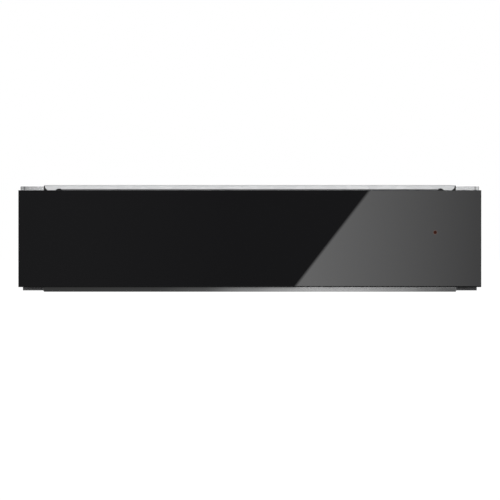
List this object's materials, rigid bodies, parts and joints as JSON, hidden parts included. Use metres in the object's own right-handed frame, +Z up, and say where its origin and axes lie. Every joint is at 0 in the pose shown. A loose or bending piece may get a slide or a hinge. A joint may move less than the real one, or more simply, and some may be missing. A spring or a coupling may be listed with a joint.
{
  "type": "warming drawer",
  "caption": "Built-in push-to-open warming drawer with a handleless black glass front on ball-bearing runners, with fan heating.",
  "frame": {"origin": "middle of the base, half way between the glass and the back", "axes": "+Z up, the glass front faces -Y, X along the width"},
  "size_m": [0.596, 0.55, 0.1375],
  "materials": {
    "galvanised_steel": "bright galvanised sheet, faint spangle",
    "base_steel": "bright rolled sheet with a dark reflection",
    "stile_steel": "satin zinc-plated sheet",
    "stainless_steel": "fine brushed stainless sheet",
    "zinc_hardware": "zinc plated",
    "runner_steel": "zinc-plated rolled steel, lightly greased",
    "ball_steel": "polished bearing balls",
    "carrier_steel": "dark grey powder coat, fine texture",
    "black_glass": "back-painted float glass, polished",
    "tape": "black closed-cell foam tape",
    "seal_rubber": "matt grey silicone",
    "black_rubber": "matt rubber",
    "mat_rubber": "matt ridged silicone",
    "white_plastic": "matt acetal",
    "dark_plastic": "matt dark acetal",
    "phenolic": "matt moulded",
    "control_plastic": "satin black moulding",
    "red_lens": "translucent red, unlit",
    "rocker_plastic": "translucent dark red",
    "cable_sheath": "matt silicone sheath",
    "core_steel": "varnished lamination stack",
    "copper_coil": "taped winding",
    "spring_steel": "bright wire",
    "heater_sheath": "heat-tinted steel tube",
    "wheel_plastic": "heat-resistant moulding"
  },
  "bodies": {
    "casing": {"base_pan": "base_steel", "top_cover": "galvanised_steel", "left_side_panel": "galvanised_steel", "right_side_panel": "galvanised_steel", "rear_panel": "galvanised_steel", "left_front_stile": "stile_steel", "right_front_stile": "stile_steel", "front_buffers": "black_rubber", "casing_screws": "zinc_hardware", "left_outer_runner": "runner_steel", "right_outer_runner": "runner_steel", "runner_rivets": "zinc_hardware", "push_latch_housing": "white_plastic", "latch_screws": "zinc_hardware", "latch_spring": "spring_steel", "mains_inlet_bush": "black_rubber", "terminal_box": "phenolic"},
    "plunger": {"latch_plunger": "dark_plastic"},
    "drawer": {"front_glass": "black_glass", "bonding_tape": "tape", "front_carrier": "carrier_steel", "front_inner_panel": "stainless_steel", "front_seal": "seal_rubber", "drawer_tray": "stainless_steel", "tray_front_wall": "stainless_steel", "tray_rear_wall": "stainless_steel", "anti_slip_mat": "mat_rubber", "left_inner_runner": "runner_steel", "right_inner_runner": "runner_steel", "drawer_rivets": "zinc_hardware", "drawer_screws": "zinc_hardware", "control_panel": "stainless_steel", "thermostat_body": "phenolic", "switch_frame": "control_plastic", "indicator_lamp": "phenolic", "indicator_lens": "red_lens", "indicator_cable": "cable_sheath", "fan_duct": "galvanised_steel", "fan_motor_core": "core_steel", "fan_motor_coil": "copper_coil", "fan_motor_brackets": "zinc_hardware", "heating_elements": "heater_sheath", "thermal_cutout": "phenolic", "wiring_channel": "galvanised_steel", "latch_striker": "zinc_hardware"},
    "thermostat": {"thermostat_spindle": "zinc_hardware", "thermostat_knob": "control_plastic"},
    "rocker": {"switch_rocker": "rocker_plastic"},
    "fan": {"fan_rotor": "zinc_hardware", "fan_impeller": "wheel_plastic"},
    "left_outer_cage": {"left_outer_ball_cage": "runner_steel", "left_outer_balls": "ball_steel"},
    "left_middle": {"left_middle_runner": "runner_steel"},
    "left_inner_cage": {"left_inner_ball_cage": "runner_steel", "left_inner_balls": "ball_steel"},
    "right_outer_cage": {"right_outer_ball_cage": "runner_steel", "right_outer_balls": "ball_steel"},
    "right_middle": {"right_middle_runner": "runner_steel"},
    "right_inner_cage": {"right_inner_ball_cage": "runner_steel", "right_inner_balls": "ball_steel"}
  },
  "joints": [
    {"name": "drawer_slide", "type": "slide", "parent": "casing", "child": "drawer", "axis": [0, -1, 0], "range_m": [-0.003, 0.4]},
    {"name": "left_outer_cage_slide", "type": "slide", "parent": "casing", "child": "left_outer_cage", "axis": [0, -1, 0], "range_m": [-0.00075, 0.1]},
    {"name": "left_middle_slide", "type": "slide", "parent": "casing", "child": "left_middle", "axis": [0, -1, 0], "range_m": [-0.0015, 0.2]},
    {"name": "left_inner_cage_slide", "type": "slide", "parent": "casing", "child": "left_inner_cage", "axis": [0, -1, 0], "range_m": [-0.00225, 0.3]},
    {"name": "right_outer_cage_slide", "type": "slide", "parent": "casing", "child": "right_outer_cage", "axis": [0, -1, 0], "range_m": [-0.00075, 0.1]},
    {"name": "right_middle_slide", "type": "slide", "parent": "casing", "child": "right_middle", "axis": [0, -1, 0], "range_m": [-0.0015, 0.2]},
    {"name": "right_inner_cage_slide", "type": "slide", "parent": "casing", "child": "right_inner_cage", "axis": [0, -1, 0], "range_m": [-0.00225, 0.3]},
    {"name": "thermostat_turn", "type": "hinge", "parent": "drawer", "child": "thermostat", "pos_m": [0.2043, -0.238, 0.112], "axis": [0, 0, 1], "range_deg": [-270, 0]},
    {"name": "switch_rock", "type": "hinge", "parent": "drawer", "child": "rocker", "pos_m": [0.1523, -0.238, 0.1105], "axis": [0, 1, 0], "range_deg": [0, 18]},
    {"name": "fan_spin", "type": "hinge", "parent": "drawer", "child": "fan", "pos_m": [0, 0.236, 0.0675], "axis": [0, 1, 0], "continuous": true},
    {"name": "latch_push", "type": "slide", "parent": "casing", "child": "plunger", "axis": [0, 1, 0], "range_m": [0, 0.004], "stiffness_N_per_m": 400, "deforming": ["latch_spring"]}
  ],
  "couplings": [
    {"joint": "left_outer_cage_slide", "follows": "drawer_slide", "ratio": 0.25},
    {"joint": "left_middle_slide", "follows": "drawer_slide", "ratio": 0.5},
    {"joint": "left_inner_cage_slide", "follows": "drawer_slide", "ratio": 0.75},
    {"joint": "right_outer_cage_slide", "follows": "drawer_slide", "ratio": 0.25},
    {"joint": "right_middle_slide", "follows": "drawer_slide", "ratio": 0.5},
    {"joint": "right_inner_cage_slide", "follows": "drawer_slide", "ratio": 0.75}
  ]
}
